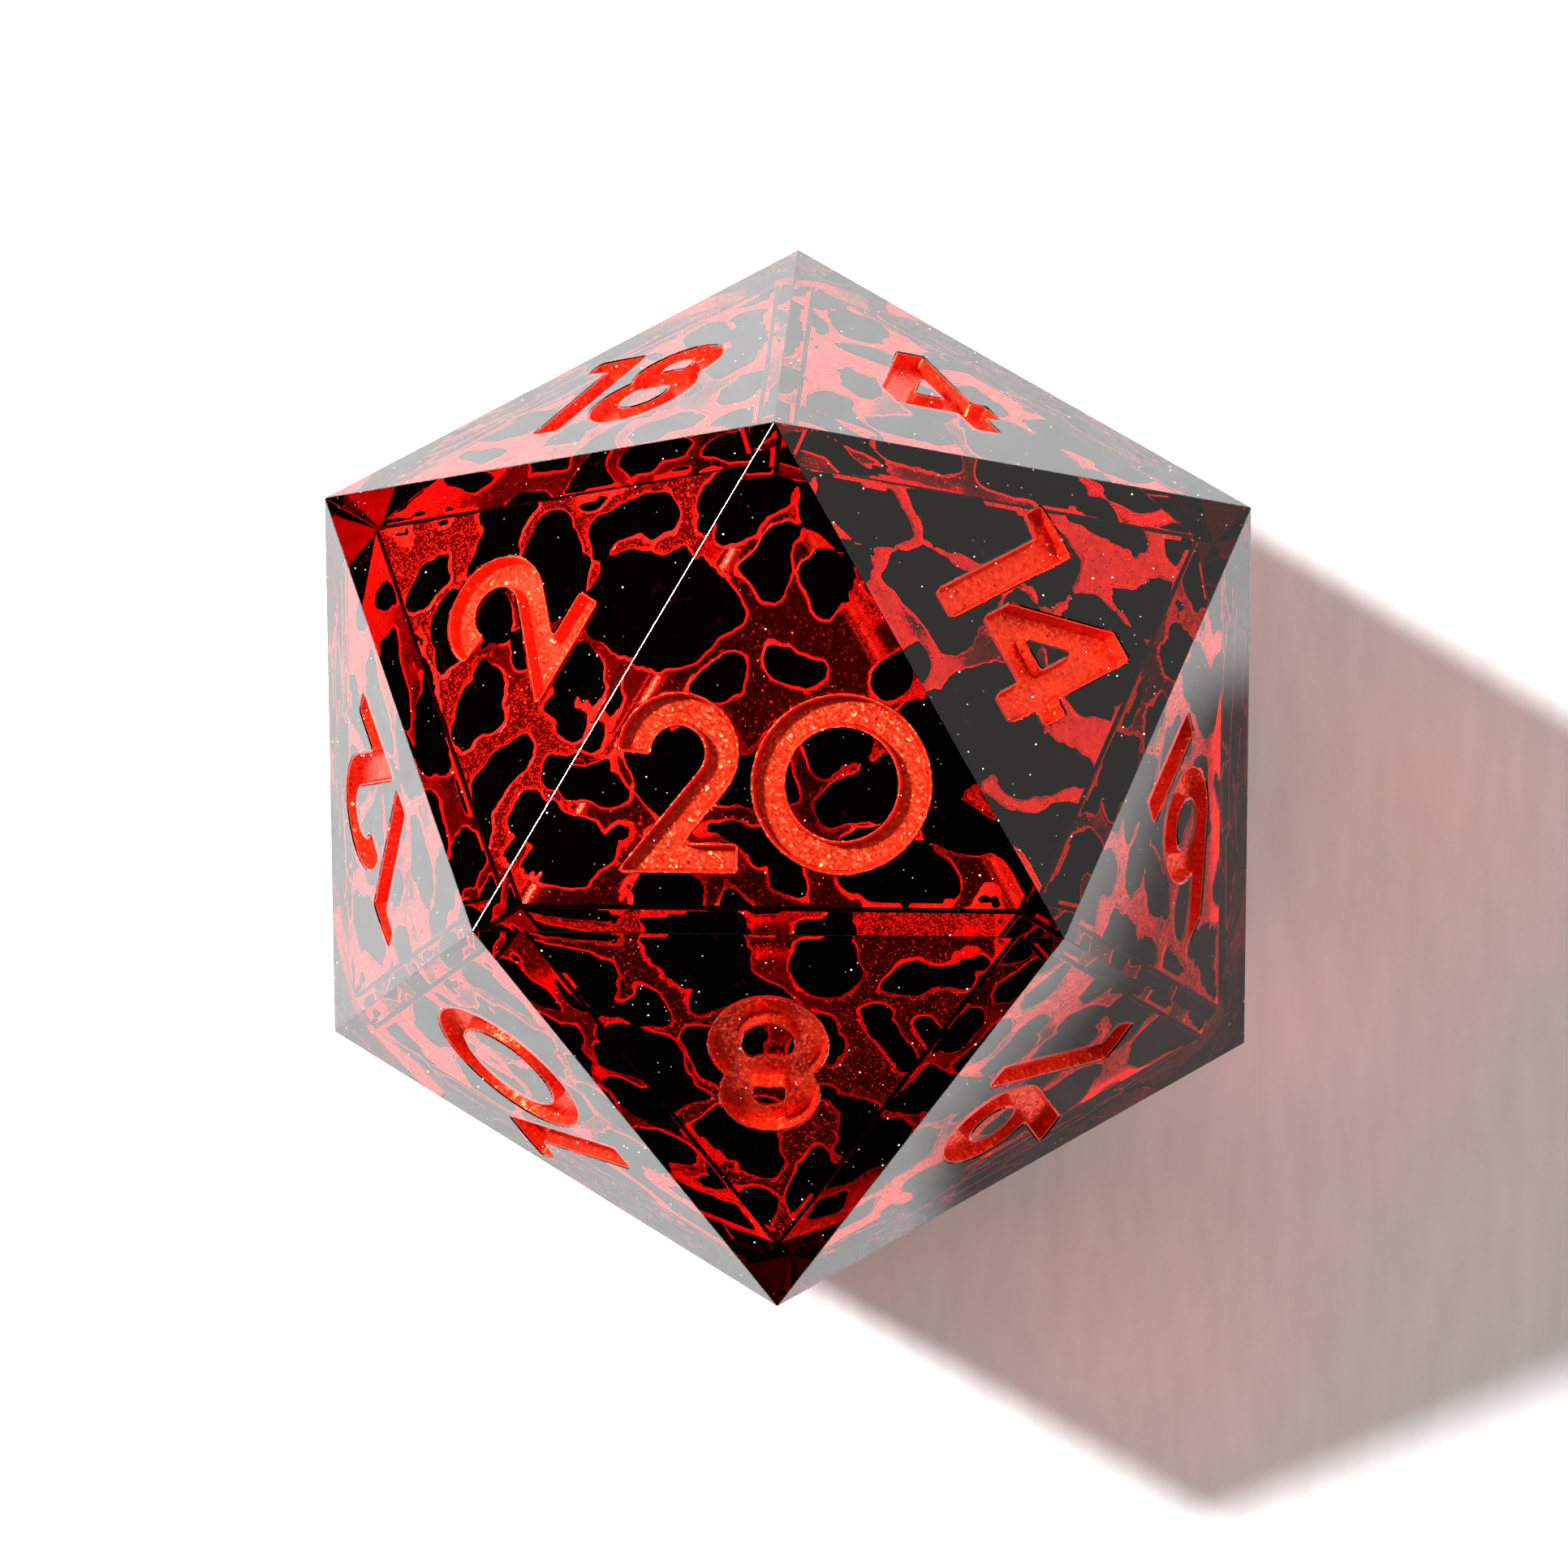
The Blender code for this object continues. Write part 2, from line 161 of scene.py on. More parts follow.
# The light: a small lamp to the upper left.
LAMP_PLACE = Vector((-0.363, 0.201, 0.455))
LAMP_RADIUS = 0.036
LAMP_POWER = 35.0
LAMP_COLOUR = (1.0, 0.985, 0.97)

# A red lamp that stands in for the light that the resin would bend onto the floor beside it.
GLOW_PLACE = Vector((12.0 * MM, -5.8 * MM, 4.2 * MM))
GLOW_RADIUS = 1.0 * MM
GLOW_CONE = radians(150)
GLOW_POWER = 1.3e-4
GLOW_COLOUR = (1.0, 0.22, 0.24)

# The studio that the die mirrors: a band between two pairs of heights, stronger towards a white card.
BAND_RISES = (radians(20), radians(34))
BAND_FALLS = (radians(58), radians(74))
BAND_STRENGTH = 0.46
BAND_GAIN = 0.28  # added towards the card, and taken away opposite it
CARD_AZIMUTH = radians(30)
CARD_ELEVATION = radians(8)
CARD_EDGE = (radians(44), radians(34))  # where the card fades out and where it is full
CARD_STRENGTH = 0.85
DARK_STRENGTH = 0.02
STUDIO_COLOUR = (1.0, 0.99, 0.93)


# Pieces and meshes


def place_piece(name, mesh, nodes, materials):
    """Lifts a mesh made round the die's centre into place, as a piece that stands for CAD nodes."""
    mesh.transform(Matrix.Translation((0, 0, CENTRE_HEIGHT)))
    for made in materials:
        mesh.materials.append(made)
    piece = bpy.data.objects.new(name, mesh)
    bpy.context.scene.collection.objects.link(piece)
    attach(piece, "root")
    if nodes:
        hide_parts(*nodes)
    return piece


def mesh_from(bm, name):
    mesh = bpy.data.meshes.new(name)
    bm.to_mesh(mesh)
    bm.free()
    return mesh


def rim(faces):
    """The directed edges that only one face has."""
    edges = [(face[i - 1], face[i]) for face in faces for i in range(len(face))]
    known = set(edges)
    return [(a, b) for a, b in edges if (b, a) not in known]


# Geometry of the faces


def corner(letter):
    angle_degrees, radius, height = CORNERS[letter]
    angle = radians(angle_degrees)
    return Vector((radius * cos(angle), radius * sin(angle), height))


def face_corners(number):
    """The left, right and top corner of a face, from the die's centre. Opposite faces add up to 21."""
    if number in UPPER_FACES:
        return [corner(letter) for letter in UPPER_FACES[number]]
    left, right, top = face_corners(OPPOSITE_SUM - number)
    return [-right, -left, -top]


def face_matrix(number):
    """The frame of a face: origin in its middle, +X along its numeral, +Y up it and +Z outwards."""
    left, right, top = face_corners(number)
    middle = (left + right + top) / 3
    rightward = (right - left).normalized()
    outward = middle.normalized()
    turn = Matrix((rightward, outward.cross(rightward), outward)).transposed()
    return Matrix.Translation(middle) @ turn.to_4x4()


def bevelled_icosahedron():
    bm = bmesh.new()
    for number in NUMBERS:
        for point in face_corners(number):
            bm.verts.new(point)
    bmesh.ops.remove_doubles(bm, verts=bm.verts, dist=SAME_POINT)
    bmesh.ops.convex_hull(bm, input=bm.verts)
    bmesh.ops.bevel(
        bm,
        geom=bm.edges[:],
        offset=EDGE_WIDTH / 2,
        offset_type="OFFSET",
        segments=3,
        profile=0.5,
        affect="EDGES",
    )
    bmesh.ops.recalc_face_normals(bm, faces=bm.faces)
    fresh = bm.copy()  # without this, the faces added later come out in another order each run
    bm.free()
    return fresh


# Strokes and digits, with the baseline at y = 0


def left_of(along):
    return Vector((-along.y, along.x))


def ribbon(path, closed=False):
    """Quads one stroke wide along a centre line, mitred where it turns and square at its ends."""
    count = len(path)
    offsets = []
    for i, point in enumerate(path):
        first = path[i - 1] if i or closed else None
        last = path[(i + 1) % count] if i < count - 1 or closed else None
        arriving = (point - first).normalized() if first else (last - point).normalized()
        leaving = (last - point).normalized() if last else arriving
        side = left_of(arriving) + left_of(leaving)
        offsets.append(side * STROKE / side.length_squared)
    left = [point + offset for point, offset in zip(path, offsets)]
    right = [point - offset for point, offset in zip(path, offsets)]
    starts = range(count if closed else count - 1)
    return [[right[i], right[(i + 1) % count], left[(i + 1) % count], left[i]] for i in starts]


def arc(centre, radius, start, end):
    """Points along an arc between two angles in degrees, clockwise where the end is the lower one."""
    steps = max(2, round(abs(radians(end - start)) * radius / ARC_CHORD))
    angles = [radians(start + (end - start) * i / steps) for i in range(steps + 1)]
    return [centre + radius * Vector((cos(angle), sin(angle))) for angle in angles]


def ring(centre, radius):
    return ribbon(arc(centre, radius, 0, 360)[:-1], closed=True)


def ended_on_level(quads, level):
    """A ribbon whose last two corners slide along its sides to a level cut."""
    near_right, far_right, far_left, near_left = quads[-1]
    along = far_right - near_right
    ends = [point + along * (level - point.y) / along.y for point in (far_right, far_left)]
    return quads[:-1] + [[near_right, *ends, near_left]]


def bar_to_level(start, angle_degrees, level):
    """A straight stroke from a square end to a level cut."""
    along = Vector((cos(radians(angle_degrees)), sin(radians(angle_degrees))))
    side = left_of(along) * STROKE / 2
    near = [start - side, start + side]
    far = [point + along * (level - point.y) / along.y for point in near]
    return [near[0], far[0], far[1], near[1]]


def box(left, low, right, high):
    return [Vector((left, low)), Vector((right, low)), Vector((right, high)), Vector((left, high))]


def counter_clockwise(polygon):
    area = sum(polygon[i - 1].cross(polygon[i]) for i in range(len(polygon)))
    return polygon if area > 0 else polygon[::-1]


def zero():
    radius = (DIGIT_HEIGHT - STROKE) / 2
    return ring(Vector((0, DIGIT_HEIGHT / 2)), radius)


def one():
    flag_reach = 0.62 * MM
    flag_left = 0.58 * MM
    flag_right = 0.70 * MM
    slope = 0.05 * MM
    stem = box(0, 0, STROKE, DIGIT_HEIGHT)
    flag = [
        Vector((-flag_reach, DIGIT_HEIGHT - slope)),
        Vector((-flag_reach, DIGIT_HEIGHT - flag_left)),
        Vector((STROKE / 2, DIGIT_HEIGHT - flag_right)),
        Vector((STROKE / 2, DIGIT_HEIGHT)),
    ]
    return [stem, flag]


def two():
    foot = 0.66 * MM
    foot_start = -0.6 * MM  # inside the diagonal, which makes the foot's pointed left end
    turn_end = -38.8
    reach = BOWL + STROKE / 2
    centre = Vector((0, DIGIT_HEIGHT - reach))
    hook = arc(centre, BOWL, 180, turn_end)
    diagonal = Vector((sin(radians(turn_end)), -cos(radians(turn_end)))) * foot
    return ended_on_level(ribbon(hook + [hook[-1] + diagonal]), 0) + [box(foot_start, 0, reach, foot)]


def three():
    low = Vector((0, BOWL + STROKE / 2))
    high = Vector((0, DIGIT_HEIGHT - SMALL_BOWL - STROKE / 2))
    middle = low.y + BOWL
    bridge = [Vector((-STROKE / 2, middle)), Vector((STROKE / 4, middle))]
    return ribbon(arc(low, BOWL, 95, -155)) + ribbon(arc(high, SMALL_BOWL, 150, -95)) + ribbon(bridge)


def four():
    bar_low = 0.83 * MM
    bar_high = 1.55 * MM
    width = 2.84 * MM
    stem_left = 1.68 * MM
    counter_left = 0.82 * MM
    slope = tan(radians(54.5))
    counter_high = bar_high + (stem_left - counter_left) * slope
    diagonal = [
        Vector((0, bar_low)),
        Vector((counter_left - (bar_high - bar_low) / slope, bar_low)),
        Vector((stem_left, counter_high)),
        Vector((stem_left, DIGIT_HEIGHT)),
        Vector((0, DIGIT_HEIGHT - stem_left * slope)),
    ]
    return [diagonal, box(0, bar_low, width, bar_high), box(stem_left, 0, stem_left + STROKE, DIGIT_HEIGHT)]


def five():
    bar = 0.66 * MM
    stem_left = -1.0 * MM
    bar_right = 1.05 * MM
    centre = Vector((0, BOWL + STROKE / 2))
    shoulder = centre.y + BOWL / 2
    stem = box(stem_left, shoulder, stem_left + STROKE, DIGIT_HEIGHT)
    top = box(stem_left, DIGIT_HEIGHT - bar, bar_right, DIGIT_HEIGHT)
    return ribbon(arc(centre, BOWL, 148, -150)) + [stem, top]


def six():
    leave = 141
    centre = Vector((0, BOWL + STROKE / 2))
    start = centre + BOWL * Vector((cos(radians(leave)), sin(radians(leave))))
    return ring(centre, BOWL) + [bar_to_level(start, leave - 90, DIGIT_HEIGHT)]


def seven():
    bar = 0.68 * MM
    width = 2.6 * MM
    lean = 246
    corner_inset = 0.34 * MM
    start = Vector((width - corner_inset, DIGIT_HEIGHT - STROKE / 2))
    return [box(0, DIGIT_HEIGHT - bar, width, DIGIT_HEIGHT), bar_to_level(start, lean, 0)]


def eight():
    low = Vector((0, BOWL + STROKE / 2))
    high = Vector((0, DIGIT_HEIGHT - SMALL_BOWL - STROKE / 2))
    return ring(low, BOWL) + ring(high, SMALL_BOWL)


def nine():
    """A six turned half round."""
    return [[Vector((-point.x, DIGIT_HEIGHT - point.y)) for point in polygon] for polygon in six()]


DIGITS = (zero, one, two, three, four, five, six, seven, eight, nine)


# Outlines as closed loops, with the stroke on their left


def outline(polygons):
    """The loops round overlapping polygons."""
    points = []
    faces = []
    for polygon in polygons:
        faces.append(list(range(len(points), len(points) + len(polygon))))
        points += counter_clockwise(polygon)
    corners, _, found, _, _, sources = delaunay_2d_cdt(points, [], faces, 0, MERGE)
    after = dict(rim([triangle for triangle, inside in zip(found, sources) if inside]))
    loops = []
    while after:
        current = next(iter(after))
        loop = []
        while current in after:
            loop.append(corners[current])
            current = after.pop(current)
        loops.append(without_short_edges(loop))
    return loops


def turn_at(loop, i):
    back = loop[i - 1] - loop[i]
    on = loop[(i + 1) % len(loop)] - loop[i]
    return pi - back.angle(on)


def without_short_edges(loop):
    """A loop without the flatter end of each short edge, where two strokes nearly line up."""
    while True:
        lengths = [(point - loop[i - 1]).length for i, point in enumerate(loop)]
        shortest = lengths.index(min(lengths))
        if lengths[shortest] > SHORTEST_EDGE:
            return loop
        ends = ((shortest - 1) % len(loop), shortest)
        flatter = min(ends, key=lambda end: turn_at(loop, end))
        loop = loop[:flatter] + loop[flatter + 1:]


def softened(loop, inset):
    """A loop with a small curve in place of each sharp corner, wider or tighter with its inset."""
    soft = []
    steps = 4
    for i, point in enumerate(loop):
        back = loop[i - 1] - point
        on = loop[(i + 1) % len(loop)] - point
        turn = turn_at(loop, i)
        if turn < SHARP:
            soft.append(point)
            continue
        bulges = back.cross(on) < 0
        radius = max(CORNER_ROUND - inset if bulges else CORNER_ROUND + inset, LEAST_ROUND)
        reach = min(radius * tan(turn / 2), back.length * MOST_OF_SIDE, on.length * MOST_OF_SIDE)
        start = point + back.normalized() * reach
        end = point + on.normalized() * reach
        for t in np.linspace(0, 1, steps + 1):
            soft.append(start * (1 - t) ** 2 + point * 2 * t * (1 - t) + end * t**2)
    return soft


def drawn_in(loop, distance):
    """A loop moved across its edges, towards its left."""
    moved = []
    for i, point in enumerate(loop):
        arriving = (point - loop[i - 1]).normalized()
        leaving = (loop[(i + 1) % len(loop)] - point).normalized()
        side = left_of(arriving) + left_of(leaving)
        moved.append(point + side * 2 * distance / side.length_squared)
    return moved


def inset_loop(loop, inset):
    return softened(drawn_in(loop, inset), inset)


def inside_loops(points, loops):
    """Which points have an odd number of loop edges to their right."""
    here = np.array(points)[:, None, :]
    ends = np.array([[loop[i - 1][:], loop[i][:]] for loop in loops for i in range(len(loop))])
    low, high = ends[:, 0], ends[:, 1]
    spans = (low[:, 1] > here[..., 1]) != (high[:, 1] > here[..., 1])
    rise = np.where(high[:, 1] == low[:, 1], 1, high[:, 1] - low[:, 1])
    across = low[:, 0] + (here[..., 1] - low[:, 1]) * (high[:, 0] - low[:, 0]) / rise
    return (spans & (here[..., 0] < across)).sum(axis=1) % 2 == 1


def triangulated(loops, covered):
    """Triangles over the loops' points, in order, on the stroke or on what is round it."""
    points = [point for loop in loops for point in loop]
    edges = []
    first = 0
    for loop in loops:
        edges += [(first + i, first + (i + 1) % len(loop)) for i in range(len(loop))]
        first += len(loop)
    corners, _, triangles, _, _, _ = delaunay_2d_cdt(points, edges, [], 1, MERGE)
    middles = [sum((corners[i] for i in triangle), Vector((0, 0))) / 3 for triangle in triangles]
    inside = inside_loops(middles, loops)
    return [triangle for triangle, is_inside in zip(triangles, inside) if is_inside == covered]


def numeral_marks(number):
    """The loops of each mark on a face, as (its name, loops), in the face's frame."""
    marks = []
    pen = 0.0
    places = ("tens", "units") if number > 9 else ("units",)
    for place, digit in zip(places, str(number)):
        loops = outline(DIGITS[int(digit)]())
        left = min(point.x for loop in loops for point in loop)
        right = max(point.x for loop in loops for point in loop)
        marks.append((place, [[point + Vector((pen - left, 0)) for point in loop] for loop in loops]))
        pen += right - left + DIGIT_GAP
    width = pen - DIGIT_GAP
    drop = 0.0
    if number in UNDERLINED:
        high = -UNDERLINE_GAP
        reach = UNDERLINE_LENGTH / 2
        marks.append(("underline", [box(width / 2 - reach, high - STROKE, width / 2 + reach, high)]))
        drop = UNDERLINE_GAP + STROKE
    right, up = NUMERAL_SHIFT.get(number, (0, 0))
    move = Vector((right - width / 2, up - (DIGIT_HEIGHT - drop) / 2))
    return [(name, [[point + move for point in loop] for loop in loops]) for name, loops in marks]


def groove_profile():
    """A groove's wall and the fillet at its foot, from the lip down, as (inset, height)."""
    profile = [(0, -LIP)]
    steps = 3
    for i in range(steps + 1):
        angle = pi / 2 * i / steps
        inset = DRAFT + FILLET * (1 - cos(angle))
        profile.append((inset, FILLET * (1 - sin(angle)) - GROOVE))
    return profile


def ring_of_verts(bm, place, loops, inset, height):
    lift = place.col[2].to_3d() * height
    rings = [inset_loop(loop, inset) for loop in loops]
    return [[bm.verts.new(place @ point.to_3d() + lift) for point in ring_points] for ring_points in rings]


def join_rings(bm, upper, lower):
    for high, low in zip(upper, lower):
        for i in range(len(high)):
            bm.faces.new([high[i - 1], high[i], low[i], low[i - 1]])


def fill_ring(bm, verts, triangles):
    flat = [vert for loop in verts for vert in loop]
    for triangle in triangles:
        bm.faces.new([flat[i] for i in triangle])


def engrave(bm, place, loops):
    """A groove from its mouth ring down. Returns the mouth ring."""
    mouth = ring_of_verts(bm, place, loops, -LIP, 0)
    above = mouth
    for inset, height in groove_profile():
        below = ring_of_verts(bm, place, loops, inset, height)
        join_rings(bm, above, below)
        above = below
    fill_ring(bm, above, triangulated([inset_loop(loop, inset) for loop in loops], True))
    return mouth


def build_resin_body(finishes):
    """The two pours, bonded into one clear body, with every numeral engraved in it."""
    bm = bevelled_icosahedron()
    for face in bm.faces:
        face.material_index = 1  # the worn edges; the faces put back below are clear
    for number in NUMBERS:
        place = face_matrix(number)
        outward = place.col[2].to_3d()
        flat = max(bm.faces, key=lambda face: face.normal.dot(outward) if len(face.verts) == 3 else -1)
        edge = list(flat.verts)
        bm.faces.remove(flat)
        to_face = place.inverted()
        edge_loop = counter_clockwise([(to_face @ vert.co).to_2d() for vert in edge])
        if (to_face @ edge[1].co - to_face @ edge[0].co).to_2d() != edge_loop[1] - edge_loop[0]:
            edge = edge[::-1]
        marks = [loop for _, loops in numeral_marks(number) for loop in loops]
        mouth = engrave(bm, place, marks)
        loops = [edge_loop] + [inset_loop(loop, -LIP) for loop in marks]
        fill_ring(bm, [edge] + mouth, triangulated(loops, True))
    bmesh.ops.recalc_face_normals(bm, faces=bm.faces)
    nodes = ("main_pour", "base_pour")
    place_piece("resin_body", mesh_from(bm, "resin_body"), nodes, finishes)


def paint_profile(inward):
    """The groove's profile moved inward, or outward if negative, down to a floor as wide as the groove's."""
    floor_height = inward - GROOVE
    (mouth_inset, mouth_height), *wall = groove_profile()
    profile = [(mouth_inset + inward, mouth_height)]
    profile += [(inset + inward, max(height, floor_height)) for inset, height in wall[:-1]]
    return profile + [(DRAFT + FILLET, floor_height)]


def paint_side(bm, place, loops, inward):
    """One side of a coat, over the walls and the floor. Returns its top ring."""
    rings = [ring_of_verts(bm, place, loops, inset, height) for inset, height in paint_profile(inward)]
    for above, below in zip(rings, rings[1:]):
        join_rings(bm, above, below)
    floor = [inset_loop(loop, DRAFT + FILLET) for loop in loops]
    fill_ring(bm, rings[-1], triangulated(floor, True))
    return rings[0]


def build_numeral_paint(finish):
    """A closed coat of paint over each groove's walls and floor, keyed slightly into the resin."""
    for number in NUMBERS:
        place = face_matrix(number)
        for mark, loops in numeral_marks(number):
            bm = bmesh.new()
            tops = [paint_side(bm, place, loops, inward) for inward in (-PAINT_GRIP, PAINT_COAT)]
            join_rings(bm, *tops)
            bmesh.ops.recalc_face_normals(bm, faces=bm.faces)
            node = f"numeral_{number:02d}_{mark}"
            name = f"paint_{number:02d}_{mark}"
            place_piece(name, mesh_from(bm, node), (node,), [finish])


# The foil and its crackle print


def waves(points, rng, length, count=10):
    """Smooth noise from about -1 to 1 at an array of points."""
    total = np.zeros(len(points))
    for _ in range(count):
        direction = rng.normal(size=3)
        direction *= 2 * pi / (length * np.linalg.norm(direction)) * rng.uniform(0.7, 1.4)
        total += np.sin(points @ direction + rng.uniform(0, 2 * pi))
    return total / sqrt(count / 2)


def has_corner(number, point):
    return any((point - known).length < SAME_POINT for known in face_corners(number))


def foil_corner(point, strip):
    """A corner of the foil, drawn in along each edge, or along the fold only if two faces meet in it."""
    holders = [number for number in strip if has_corner(number, point)]
    if len(holders) == 3:
        return point
    others = [
        other
        for other in face_corners(holders[0])
        if (other - point).length > SAME_POINT and all(has_corner(number, other) for number in holders)
    ]
    trim = SEAM / 2 / sin(pi / 3)
    return point + sum(((other - point).normalized() for other in others), Vector()) * trim


def foil_corners(strip):
    """The corners of each face's foil, shared at the folds."""
    scale = 1 - WALL / CENTRE_HEIGHT
    return [[foil_corner(point, strip) * scale for point in face_corners(number)] for number in strip]


def grid_on(corners, steps):
    """An even grid of triangles between three corners."""
    first, second, third = (np.array(point) for point in corners)
    index = {}
    points = []
    for i in range(steps + 1):
        for j in range(steps + 1 - i):
            index[i, j] = len(points)
            points.append((first * (steps - i - j) + second * i + third * j) / steps)
    triangles = []
    for i in range(steps):
        for j in range(steps - i):
            triangles.append((index[i, j], index[i + 1, j], index[i, j + 1]))
            if i + j < steps - 1:
                triangles.append((index[i + 1, j], index[i + 1, j + 1], index[i, j + 1]))
    return np.array(points), np.array(triangles)


def blob_seeds(number, strip, known, rng):
    """Evenly scattered points in a face's plane and a little way past its seams, clear of known ones."""
    place = face_matrix(number)
    scale = 1 - WALL / CENTRE_HEIGHT
    middle = np.array(place.translation) * scale
    across, up = np.array(place.col[0].to_3d()), np.array(place.col[1].to_3d())
    neighbours = [np.array(face_matrix(other).translation) for other in strip if other != number]
    reach = FACE_RADIUS * scale + SEED_MARGIN
    seeds = list(known)
    for x, y in rng.uniform(-reach, reach, size=(SEED_TRIES, 2)):
        point = middle + across * x + up * y
        beyond = any((point @ other) / CENTRE_HEIGHT > CENTRE_HEIGHT * scale for other in neighbours)
        if not beyond and all(np.linalg.norm(point - seed) > BLOB_SPACING for seed in seeds):
            seeds.append(point)
    return seeds


def crackle(points, seeds, rng):
    """How far each point lies from the middle of the nearest vein, which is a border between blobs."""
    bend = 0.3 * MM
    bend_length = 3.0 * MM
    ragged = 0.05 * MM
    ragged_length = 0.8 * MM
    torn = 0.018 * MM
    torn_length = 0.3 * MM
    swell_length = 4.5 * MM
    warped = points + bend * np.stack([waves(points, rng, bend_length) for _ in range(3)], axis=1)
    seeds = np.array(seeds)
    distance = np.linalg.norm(warped[:, None, :] - seeds[None, :, :], axis=2)
    weight = np.exp((distance.min(axis=1)[:, None] - distance) / SOFTNESS)
    group = np.arange(len(seeds))
    pairs = max(1, len(seeds) // BLOBS_PER_PAIR)
    for first in rng.choice(len(seeds), pairs, replace=False):
        apart = np.linalg.norm(seeds - seeds[first], axis=1)
        group[group == group[first]] = group[np.argsort(apart)[1]]
    blobs = np.stack([weight[:, group == one_group].sum(axis=1) for one_group in np.unique(group)], axis=1)
    own = blobs.max(axis=1)
    least_weight = 1e-12  # keeps the logarithm finite
    rest = np.maximum(blobs.sum(axis=1) - own, least_weight)
    value = SOFTNESS / 2 * np.log(own / rest)
    value += ragged * waves(points, rng, ragged_length) + torn * waves(points, rng, torn_length)
    return value - VEIN_HALF - VEIN_CHANGE * waves(points, rng, swell_length)


def split_at(points, values, triangles, level):
    """Cuts every triangle that a level crosses along that level."""
    least_share = 0.02  # of an edge on either side of a cut
    high = values > level
    odd = np.full(len(triangles), -1)
    count = high[triangles].sum(axis=1)
    for k in range(3):
        alone = high[triangles[:, k]] == (count == 1)
        odd[alone & ((count == 1) | (count == 2))] = k
    crossed = triangles[odd >= 0]
    turn = odd[odd >= 0]
    rows = np.arange(len(crossed))
    a, b, c = (crossed[rows, (turn + k) % 3] for k in range(3))
    edges = np.sort(np.concatenate([np.stack([a, b], 1), np.stack([a, c], 1)]), axis=1)
    unique, where = np.unique(edges, axis=0, return_inverse=True)
    where = where.reshape(-1)
    low_value, high_value = values[unique[:, 0]], values[unique[:, 1]]
    share = np.clip((level - low_value) / (high_value - low_value), least_share, 1 - least_share)
    share = share[:, None]
    cut_points = points[unique[:, 0]] * (1 - share) + points[unique[:, 1]] * share
    ab = len(points) + where[: len(a)]
    ac = len(points) + where[len(a):]
    made = np.concatenate([np.stack([a, ab, ac], 1), np.stack([ab, b, c], 1), np.stack([ab, c, ac], 1)])
    return (
        np.concatenate([points, cut_points]),
        np.concatenate([values, np.full(len(unique), level)]),
        np.concatenate([triangles[odd < 0], made]),
    )


def welded(grids):
    """Several grids as one, with the points on their shared folds merged."""
    points = np.concatenate([grid[0] for grid in grids])
    starts = np.cumsum([0] + [len(grid[0]) for grid in grids[:-1]])
    triangles = np.concatenate([grid[1] + start for grid, start in zip(grids, starts)])
    cells = np.round(points / SAME_POINT)
    _, first, where = np.unique(cells, axis=0, return_index=True, return_inverse=True)
    return points[first], where.reshape(-1)[triangles]


def edge_distance(points, sheets):
    """How far each point is from the nearest seam. A fold, which two sheets share, is no seam."""
    sides = [(sheet[i - 1], sheet[i]) for sheet in sheets for i in range(3)]
    nearest = np.full(len(points), 1.0)
    for start, end in sides:
        if any((start - b).length < SAME_POINT and (end - a).length < SAME_POINT for a, b in sides):
            continue
        along = np.array((end - start).normalized())
        offset = points - np.array(start)
        nearest = np.minimum(nearest, np.linalg.norm(offset - np.outer(offset @ along, along), axis=1))
    return nearest


def fold_drop(points, strip):
    """How far each point moves in to round the folds, as vectors."""
    drop = np.zeros_like(points)
    for first, second in zip(strip, strip[1:]):
        normals = [np.array(face_matrix(number).translation) / CENTRE_HEIGHT for number in (first, second)]
        bisector = (normals[0] + normals[1]) / np.linalg.norm(normals[0] + normals[1])
        lean = sqrt(1 - float(bisector @ normals[0]) ** 2)
        from_fold = np.abs(points @ (normals[0] - normals[1])) / (2 * lean * float(bisector @ normals[0]))
        depth = np.clip(FOLD_SOFTNESS - from_fold, 0, None) ** 2 / (2 * FOLD_SOFTNESS) * lean
        drop -= bisector * depth[:, None]
    return drop


def close_below(bm, strip):
    """Gives an open sheet a flat underside and side walls, one plain face under each die face."""
    shrink = (CENTRE_HEIGHT - WALL - FOIL) / (CENTRE_HEIGHT - WALL)
    edge = [e for e in bm.edges if e.is_boundary]
    after = {}
    for e in edge:
        loop = e.link_loops[0]
        after[loop.vert] = loop.link_loop_next.vert
    vert = edge[0].link_loops[0].vert
    around = []
    while not around or vert is not around[0]:
        around.append(vert)
        vert = after[vert]
    low = [bm.verts.new(v.co * shrink) for v in around]
    for i in range(len(around)):
        bm.faces.new([around[i], around[i - 1], low[i - 1], low[i]])
    depth = CENTRE_HEIGHT - WALL - FOIL
    for number in strip:
        outward = face_matrix(number).translation.normalized()
        under = [v for v in low if abs(v.co.dot(outward) - depth) < SAME_POINT / 10]
        bm.faces.new(under[::-1])


